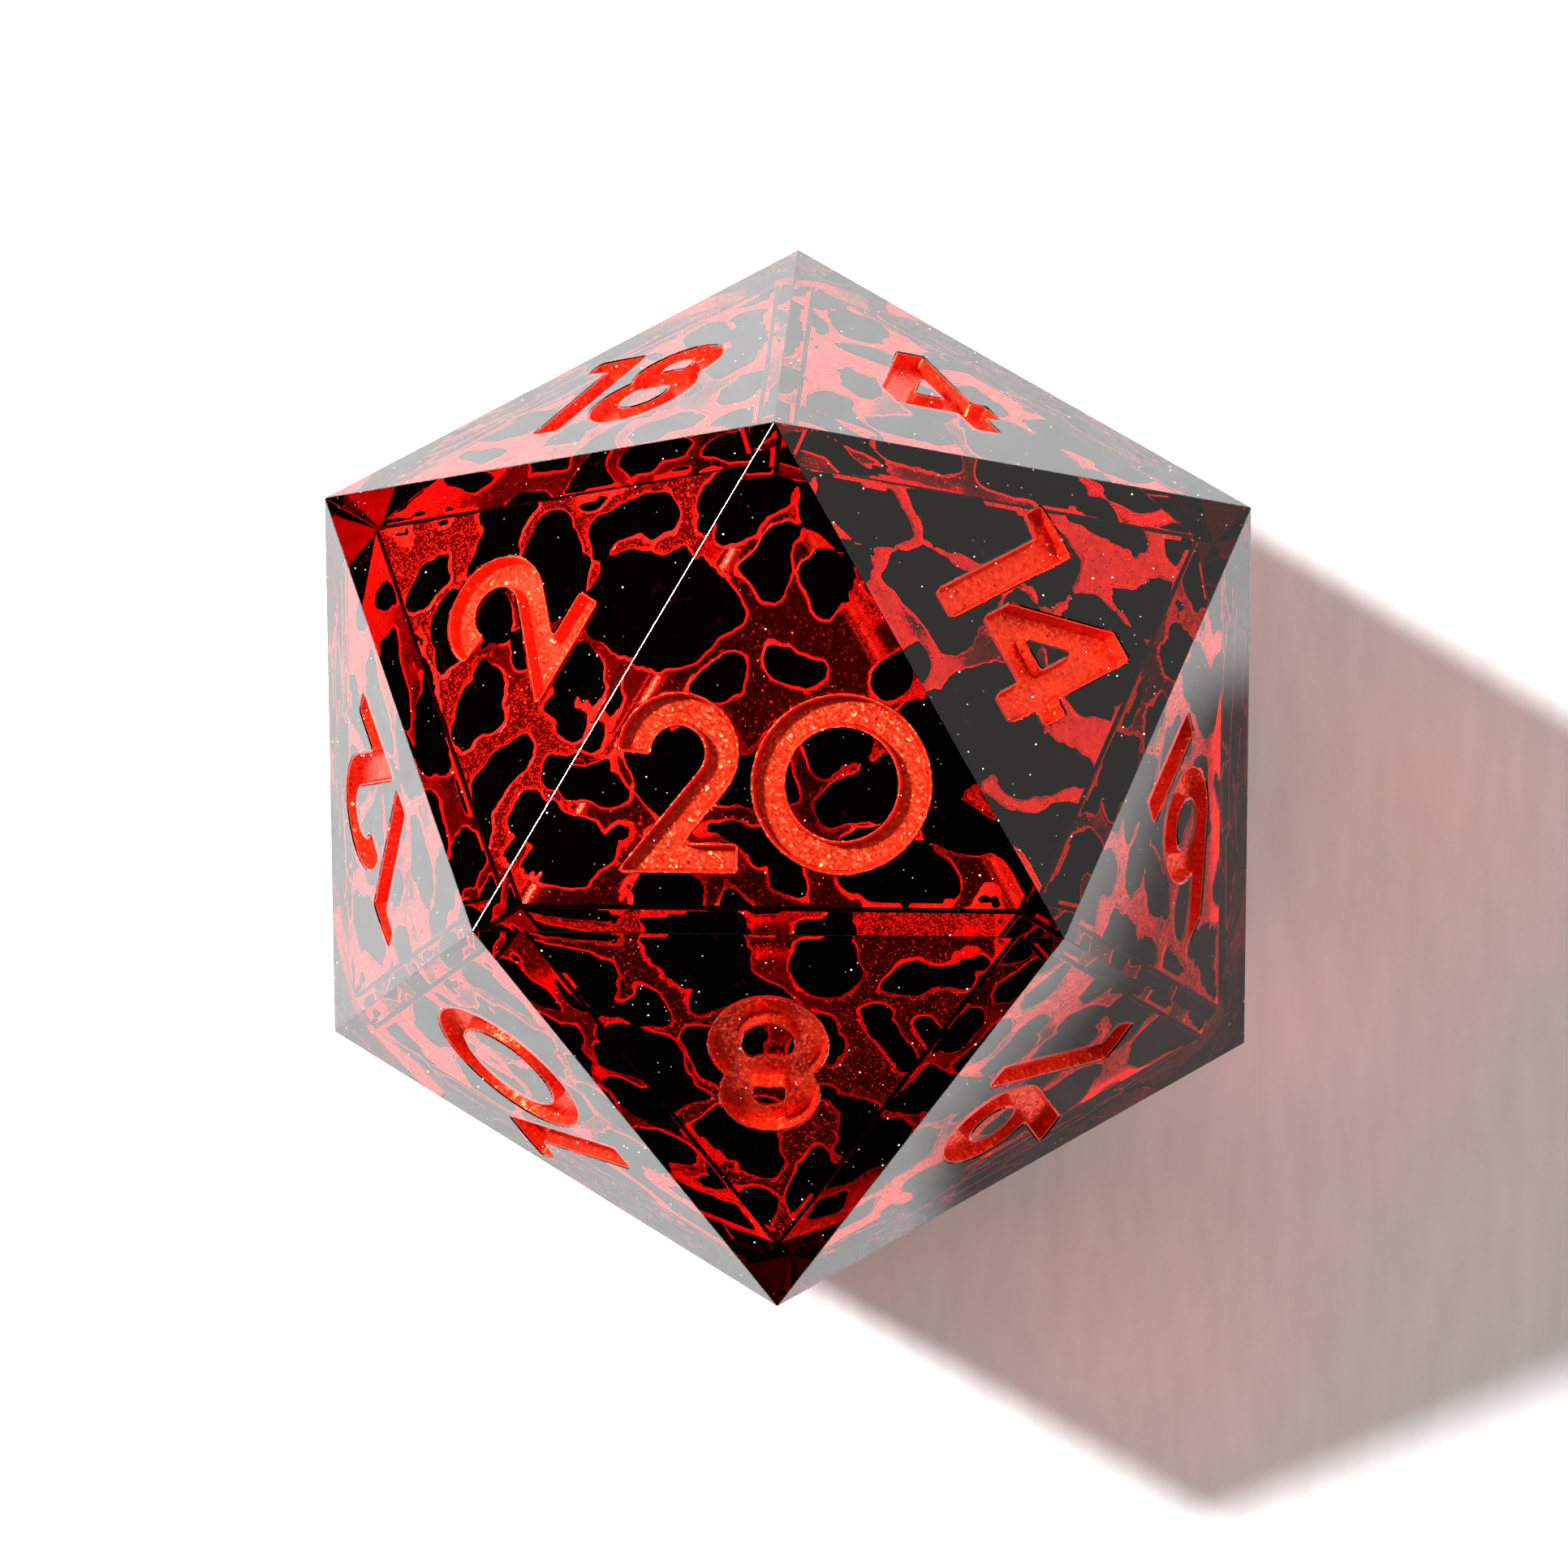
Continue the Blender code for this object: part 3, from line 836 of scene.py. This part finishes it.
def build_foil(name, strip, nodes, materials):
    """One panel or folded strip: recessed mirror veins, bright sloping rims and raised black blobs."""
    rng = np.random.default_rng(SEED * 100 + strip[0])
    sheets = foil_corners(strip)
    steps = round(EDGE * (1 - WALL / CENTRE_HEIGHT) / GRID_STEP)
    points, triangles = welded([grid_on(sheet, steps) for sheet in sheets])
    seeds = []
    for number in strip:
        seeds = blob_seeds(number, strip, seeds, rng)
    values = crackle(points, seeds, rng)
    edge = edge_distance(points, sheets)
    seam_rim = SEAM_RIM * (SEAM_RIM_MIDDLE + SEAM_RIM_CHANGE * waves(points, rng, SEAM_CHANGE_LENGTH))
    values = np.minimum(values, np.where(edge < seam_rim, RIM_WIDTH / 2, 1.0))
    for level in (0.0, RIM_WIDTH):
        points, values, triangles = split_at(points, values, triangles, level)
    bm = bmesh.new()
    verts = [bm.verts.new(point) for point in points]
    middle_values = values[triangles].mean(axis=1)
    kinds = np.where(middle_values < 0, 0, np.where(middle_values < RIM_WIDTH, 1, 2))
    for triangle, kind in zip(triangles.tolist(), kinds.tolist()):
        bm.faces.new([verts[i] for i in triangle]).material_index = kind
    close_below(bm, strip)
    height = np.clip(values / RIM_WIDTH, 0, 1) * RELIEF - RELIEF
    outward = points / np.linalg.norm(points, axis=1)[:, None]
    lifted = points + outward * height[:, None] + fold_drop(points, strip)
    for vert, place in zip(verts, lifted):
        vert.co = place
    bmesh.ops.recalc_face_normals(bm, faces=bm.faces)
    mesh = mesh_from(bm, name)
    mesh.shade_smooth()
    mesh.set_sharp_from_angle(angle=FOLD_SHARP)
    place_piece(name, mesh, nodes, materials)


def build_all_foil(materials):
    build_foil("crackle_strip_02_20_14", FOLDED_STRIP, ("foil_strip_02_20_14",), materials)
    for number in NUMBERS:
        if number not in FOLDED_STRIP:
            node = f"foil_panel_{number:02d}"
            build_foil(f"crackle_panel_{number:02d}", (number,), (node,), materials)


def build_dust(finish):
    """Specks of dust on the polished faces, each a tiny ball of twenty triangles sunk halfway in."""
    rng = np.random.default_rng(SEED)
    per_face = 110
    sunk = 0.9999  # of the way out from the die's centre
    smallest, largest = 0.010 * MM, 0.030 * MM
    bm = bmesh.new()
    for number in NUMBERS:
        left, right, top = (np.array(point) for point in face_corners(number))
        for share_left, share_right, share_top in rng.dirichlet((1, 1, 1), per_face):
            size = smallest + (largest - smallest) * rng.random() ** 3
            centre = Vector((left * share_left + right * share_right + top * share_top) * sunk)
            place = Matrix.Translation(centre) @ face_matrix(number).to_3x3().to_4x4()
            bmesh.ops.create_icosphere(bm, subdivisions=1, radius=size, matrix=place)
    place_piece("surface_dust", mesh_from(bm, "surface_dust"), (), [finish])


# Materials


class Nodes:
    """A short way to add and link a material's nodes."""

    def __init__(self, name):
        self.material = bpy.data.materials.new(name)
        self.material.use_nodes = True
        self.tree = self.material.node_tree
        self.shader = self.tree.nodes["Principled BSDF"]
        self.output = self.tree.nodes["Material Output"]

    def add(self, kind, **settings):
        node = self.tree.nodes.new(kind)
        for key, value in settings.items():
            if hasattr(node, key):
                setattr(node, key, value)
            else:
                node.inputs[key.replace("_", " ").title()].default_value = value
        return node

    def link(self, source, target):
        self.tree.links.new(source, target)

    def set(self, **values):
        for key, value in values.items():
            self.shader.inputs[key.replace("_", " ")].default_value = value


def place_of(nodes):
    return nodes.add("ShaderNodeTexCoord").outputs["Object"]


def ramp(nodes, source, stops):
    made = nodes.add("ShaderNodeValToRGB")
    elements = made.color_ramp.elements
    while len(elements) < len(stops):
        elements.new(0.5)
    for element, (position, colour) in zip(elements, stops):
        element.position = position
        element.color = (*colour, 1.0)
    nodes.link(source, made.inputs["Fac"])
    return made.outputs["Color"]


def going_in_or_out(nodes, going_in, going_out):
    """One colour where a ray enters the body and another where it leaves."""
    geometry = nodes.add("ShaderNodeNewGeometry")
    mix = nodes.add("ShaderNodeMixRGB")
    nodes.link(geometry.outputs["Backfacing"], mix.inputs["Fac"])
    mix.inputs["Color1"].default_value = (*going_in, 1)
    mix.inputs["Color2"].default_value = (*going_out, 1)
    return mix.outputs["Color"]


def resin_material(name, roughness):
    """Clear resin that takes out green and blue, with faint long scratches.

    A shadow ray that leaves it passes freely, so light reaches what is cast inside. One that enters it is
    nearly stopped, so the die throws a dark shadow.
    """
    nodes = Nodes(name)
    nodes.set(IOR=RESIN_IOR, Transmission_Weight=1.0)
    nodes.shader.inputs["Base Color"].default_value = (1, 1, 1, 1)
    stretch = nodes.add("ShaderNodeVectorMath", operation="MULTIPLY")
    stretch.inputs[1].default_value = (1.0, 0.04, 0.3)
    nodes.link(place_of(nodes), stretch.inputs[0])
    scratches = nodes.add("ShaderNodeTexNoise", scale=1 / (0.15 * MM), detail=2.0)
    nodes.link(stretch.outputs["Vector"], scratches.inputs["Vector"])
    polished = (roughness,) * 3
    worn = (roughness + SCRATCH_ROUGHNESS,) * 3
    finish = ramp(nodes, scratches.outputs["Fac"], [(0.66, polished), (0.74, worn)])
    nodes.link(finish, nodes.shader.inputs["Roughness"])
    absorption = nodes.add("ShaderNodeVolumeAbsorption")
    absorption.inputs["Color"].default_value = (*RESIN_COLOUR, 1)
    absorption.inputs["Density"].default_value = RESIN_DENSITY
    nodes.link(absorption.outputs["Volume"], nodes.output.inputs["Volume"])
    light_path = nodes.add("ShaderNodeLightPath")
    clear = nodes.add("ShaderNodeBsdfTransparent")
    nodes.link(going_in_or_out(nodes, SHADOW_ENTERING, (1, 1, 1)), clear.inputs["Color"])
    mix = nodes.add("ShaderNodeMixShader")
    nodes.link(light_path.outputs["Is Shadow Ray"], mix.inputs["Fac"])
    nodes.link(nodes.shader.outputs["BSDF"], mix.inputs[1])
    nodes.link(clear.outputs["BSDF"], mix.inputs[2])
    nodes.link(mix.outputs["Shader"], nodes.output.inputs["Surface"])
    return nodes.material


def flake_normal(nodes, cell, tilt, odd_tilt):
    """A normal that leans a little in each cell, and far in a few of them, as the grain of a foil does."""
    grain = nodes.add("ShaderNodeTexVoronoi", scale=1 / cell)
    nodes.link(place_of(nodes), grain.inputs["Vector"])
    chances = nodes.add("ShaderNodeTexWhiteNoise")
    nodes.link(grain.outputs["Color"], chances.inputs["Vector"])
    rare = nodes.add("ShaderNodeMath", operation="POWER")
    nodes.link(chances.outputs["Value"], rare.inputs[0])
    rare.inputs[1].default_value = FLAKE_RARITY
    lean = nodes.add("ShaderNodeMath", operation="MULTIPLY_ADD")
    nodes.link(rare.outputs["Value"], lean.inputs[0])
    lean.inputs[1].default_value = odd_tilt - tilt
    lean.inputs[2].default_value = tilt
    centred = nodes.add("ShaderNodeVectorMath", operation="SUBTRACT")
    nodes.link(grain.outputs["Color"], centred.inputs[0])
    centred.inputs[1].default_value = (0.5, 0.5, 0.5)
    scaled = nodes.add("ShaderNodeVectorMath", operation="SCALE")
    nodes.link(centred.outputs["Vector"], scaled.inputs[0])
    nodes.link(lean.outputs["Value"], scaled.inputs["Scale"])
    geometry = nodes.add("ShaderNodeNewGeometry")
    leaning = nodes.add("ShaderNodeVectorMath", operation="ADD")
    nodes.link(geometry.outputs["Normal"], leaning.inputs[0])
    nodes.link(scaled.outputs["Vector"], leaning.inputs[1])
    unit = nodes.add("ShaderNodeVectorMath", operation="NORMALIZE")
    nodes.link(leaning.outputs["Vector"], unit.inputs[0])
    return unit.outputs["Vector"]


def vein_material():
    """Bare red mirror foil."""
    nodes = Nodes("foil_mirror")
    nodes.set(Metallic=1.0, Roughness=0.12)
    noise = nodes.add("ShaderNodeTexNoise", scale=1 / (0.25 * MM), detail=4.0)
    nodes.link(place_of(nodes), noise.inputs["Vector"])
    colour = ramp(nodes, noise.outputs["Fac"], [(0.35, (0.80, 0.12, 0.06)), (0.65, (1.0, 0.24, 0.12))])
    nodes.link(colour, nodes.shader.inputs["Base Color"])
    flakes = flake_normal(nodes, cell=0.035 * MM, tilt=0.06, odd_tilt=0.9)
    nodes.link(flakes, nodes.shader.inputs["Normal"])
    return nodes.material


def rim_material():
    """The foil's slope up to a blob, which is duller and catches the light."""
    nodes = Nodes("foil_bright_rim")
    nodes.set(Metallic=0.2, Roughness=0.5)
    noise = nodes.add("ShaderNodeTexNoise", scale=1 / (0.06 * MM), detail=3.0)
    nodes.link(place_of(nodes), noise.inputs["Vector"])
    colour = ramp(nodes, noise.outputs["Fac"], [(0.35, (0.45, 0.03, 0.012)), (0.6, (1.0, 0.12, 0.05))])
    nodes.link(colour, nodes.shader.inputs["Base Color"])
    flakes = flake_normal(nodes, cell=0.05 * MM, tilt=0.2, odd_tilt=0.9)
    nodes.link(flakes, nodes.shader.inputs["Normal"])
    return nodes.material


def print_material():
    """Black ink with a few dark red flecks where the foil shows through."""
    nodes = Nodes("foil_black_print")
    nodes.set(Roughness=0.5)
    nodes.shader.inputs["Specular IOR Level"].default_value = 0.0
    noise = nodes.add("ShaderNodeTexNoise", scale=1 / (0.35 * MM), detail=6.0, roughness=0.75)
    nodes.link(place_of(nodes), noise.inputs["Vector"])
    black = (0.0006, 0.0004, 0.0005)
    stops = [(0.60, black), (0.66, (0.012, 0.0002, 0.0002)), (0.74, (0.12, 0.001, 0.001))]
    nodes.link(ramp(nodes, noise.outputs["Fac"], stops), nodes.shader.inputs["Base Color"])
    return nodes.material


def paint_material():
    """Grainy red-orange metallic paint."""
    nodes = Nodes("numeral_paint_grained")
    nodes.set(Metallic=0.75, Roughness=0.38)
    noise = nodes.add("ShaderNodeTexNoise", scale=1 / (0.12 * MM), detail=5.0, roughness=0.65)
    nodes.link(place_of(nodes), noise.inputs["Vector"])
    colour = ramp(nodes, noise.outputs["Fac"], [(0.3, (0.62, 0.022, 0.008)), (0.7, (0.92, 0.08, 0.025))])
    nodes.link(colour, nodes.shader.inputs["Base Color"])
    flakes = flake_normal(nodes, cell=0.06 * MM, tilt=0.35, odd_tilt=1.2)
    nodes.link(flakes, nodes.shader.inputs["Normal"])
    return nodes.material


def core_material():
    nodes = Nodes("core_black_resin")
    nodes.set(Roughness=0.4)
    noise = nodes.add("ShaderNodeTexNoise", scale=1 / (0.5 * MM), detail=4.0)
    nodes.link(place_of(nodes), noise.inputs["Vector"])
    stops = [(0.4, (0.001, 0.0005, 0.0006)), (0.7, (0.006, 0.002, 0.002))]
    colour = ramp(nodes, noise.outputs["Fac"], stops)
    nodes.link(colour, nodes.shader.inputs["Base Color"])
    return nodes.material


def dust_material():
    nodes = Nodes("dust_specks")
    nodes.set(Roughness=0.9)
    noise = nodes.add("ShaderNodeTexNoise", scale=1 / (1.0 * MM))
    nodes.link(place_of(nodes), noise.inputs["Vector"])
    colour = ramp(nodes, noise.outputs["Fac"], [(0.3, (0.35, 0.33, 0.32)), (0.7, (0.85, 0.82, 0.8))])
    nodes.link(colour, nodes.shader.inputs["Base Color"])
    return nodes.material


def floor_material():
    """Matt paper with a faint grain, a little blue so that the die's shadow isn't too pink."""
    nodes = Nodes("white_paper")
    nodes.set(Roughness=0.9)
    nodes.shader.inputs["Specular IOR Level"].default_value = 0.1
    noise = nodes.add("ShaderNodeTexNoise", scale=1 / (0.6 * MM), detail=5.0)
    stretch = nodes.add("ShaderNodeVectorMath", operation="MULTIPLY")
    stretch.inputs[1].default_value = (1.0, 0.25, 1.0)
    nodes.link(place_of(nodes), stretch.inputs[0])
    nodes.link(stretch.outputs["Vector"], noise.inputs["Vector"])
    colour = ramp(nodes, noise.outputs["Fac"], [(0.3, (0.80, 0.82, 0.84)), (0.7, (0.87, 0.89, 0.91))])
    nodes.link(colour, nodes.shader.inputs["Base Color"])
    return nodes.material


# Floor, light and camera


def build_floor():
    reach = 0.3
    gap = 0.02 * MM
    bm = bmesh.new()
    bmesh.ops.create_grid(bm, x_segments=2, y_segments=2, size=reach)
    floor = bpy.data.objects.new("paper_floor", mesh_from(bm, "paper_floor"))
    floor.data.materials.append(floor_material())
    floor.location.z = -gap
    bpy.context.scene.collection.objects.link(floor)


def from_angles(azimuth, elevation):
    return Vector((cos(azimuth) * cos(elevation), sin(azimuth) * cos(elevation), sin(elevation)))


def build_lamp():
    light = bpy.data.lights.new("lamp", "POINT")
    light.energy = LAMP_POWER
    light.color = LAMP_COLOUR
    light.shadow_soft_size = LAMP_RADIUS
    lamp = bpy.data.objects.new("lamp", light)
    lamp.location = LAMP_PLACE
    lamp.visible_transmission = False  # hidden from rays that pass through the resin
    bpy.context.scene.collection.objects.link(lamp)


def build_glow():
    light = bpy.data.lights.new("glow", "SPOT")
    light.energy = GLOW_POWER
    light.color = GLOW_COLOUR
    light.shadow_soft_size = GLOW_RADIUS
    light.spot_size = GLOW_CONE
    light.spot_blend = 1.0
    glow = bpy.data.objects.new("glow", light)
    glow.location = GLOW_PLACE
    bpy.context.scene.collection.objects.link(glow)


def build_world():
    """A soft bright band between a dark horizon and a dark ceiling, with one white card.

    The camera itself sees plain white behind the floor.
    """
    world = bpy.data.worlds.new("studio")
    bpy.context.scene.world = world
    world.use_nodes = True
    tree = world.node_tree
    tree.nodes.clear()

    def math(operation, first, second, third=None):
        node = tree.nodes.new("ShaderNodeMath")
        node.operation = operation
        for socket, value in zip(node.inputs, (first, second, third)):
            if isinstance(value, (int, float)):
                socket.default_value = value
            elif value is not None:
                tree.links.new(value, socket)
        return node.outputs["Value"]

    def soft_step(value, start, end):
        node = tree.nodes.new("ShaderNodeMapRange")
        node.interpolation_type = "SMOOTHSTEP"
        tree.links.new(value, node.inputs["Value"])
        node.inputs["From Min"].default_value = start
        node.inputs["From Max"].default_value = end
        return node.outputs["Result"]

    coordinates = tree.nodes.new("ShaderNodeTexCoord")
    split = tree.nodes.new("ShaderNodeSeparateXYZ")
    tree.links.new(coordinates.outputs["Generated"], split.inputs["Vector"])
    height = split.outputs["Z"]
    above_horizon = soft_step(height, *(sin(angle) for angle in BAND_RISES))
    in_ceiling = soft_step(height, *(sin(angle) for angle in BAND_FALLS))
    band = math("MULTIPLY", above_horizon, math("SUBTRACT", 1.0, in_ceiling))
    card_dot = tree.nodes.new("ShaderNodeVectorMath")
    card_dot.operation = "DOT_PRODUCT"
    tree.links.new(coordinates.outputs["Generated"], card_dot.inputs[0])
    card_dot.inputs[1].default_value = from_angles(CARD_AZIMUTH, CARD_ELEVATION)
    card = soft_step(card_dot.outputs["Value"], *(cos(angle) for angle in CARD_EDGE))
    towards_card = math("MULTIPLY_ADD", card_dot.outputs["Value"], BAND_GAIN, BAND_STRENGTH)
    strength = math("ADD", math("MULTIPLY", band, towards_card), math("MULTIPLY", card, CARD_STRENGTH))
    strength = math("ADD", strength, DARK_STRENGTH)
    seen = tree.nodes.new("ShaderNodeBackground")
    seen.inputs["Color"].default_value = (1, 1, 1, 1)
    lighting = tree.nodes.new("ShaderNodeBackground")
    lighting.inputs["Color"].default_value = (*STUDIO_COLOUR, 1)
    tree.links.new(strength, lighting.inputs["Strength"])
    path = tree.nodes.new("ShaderNodeLightPath")
    mix = tree.nodes.new("ShaderNodeMixShader")
    tree.links.new(path.outputs["Is Camera Ray"], mix.inputs["Fac"])
    tree.links.new(lighting.outputs["Background"], mix.inputs[1])
    tree.links.new(seen.outputs["Background"], mix.inputs[2])
    output = tree.nodes.new("ShaderNodeOutputWorld")
    tree.links.new(mix.outputs["Shader"], output.inputs["Surface"])


def build_camera():
    data = bpy.data.cameras.new("camera")
    data.lens = CAMERA_LENS
    data.sensor_width = CAMERA_SENSOR
    data.clip_start = 0.01
    data.clip_end = 10.0
    camera = bpy.data.objects.new("camera", data)
    level = cos(CAMERA_ELEVATION)
    back = Vector((sin(CAMERA_AZIMUTH) * level, -cos(CAMERA_AZIMUTH) * level, sin(CAMERA_ELEVATION)))
    up_hint = Vector((-sin(CAMERA_ROLL), cos(CAMERA_ROLL), 0))
    right = up_hint.cross(back).normalized()
    turn = Matrix((right, back.cross(right), back)).transposed()
    camera.matrix_world = Matrix.Translation(AIM + back * CAMERA_DISTANCE) @ turn.to_4x4()
    bpy.context.scene.collection.objects.link(camera)
    bpy.context.scene.camera = camera


def build():
    bpy.context.scene.view_settings.view_transform = "Standard"
    bpy.context.scene.view_settings.look = "Medium High Contrast"
    build_camera()
    build_lamp()
    build_glow()
    build_world()
    build_floor()
    clear_resin = resin_material("crimson_resin_clear", 0.0)
    build_resin_body([clear_resin, resin_material("crimson_resin_edge", EDGE_ROUGHNESS)])
    build_numeral_paint(paint_material())
    build_all_foil([vein_material(), rim_material(), print_material()])
    build_dust(dust_material())
    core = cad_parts["core"]
    core.data.materials.clear()
    core.data.materials.append(core_material())


build()
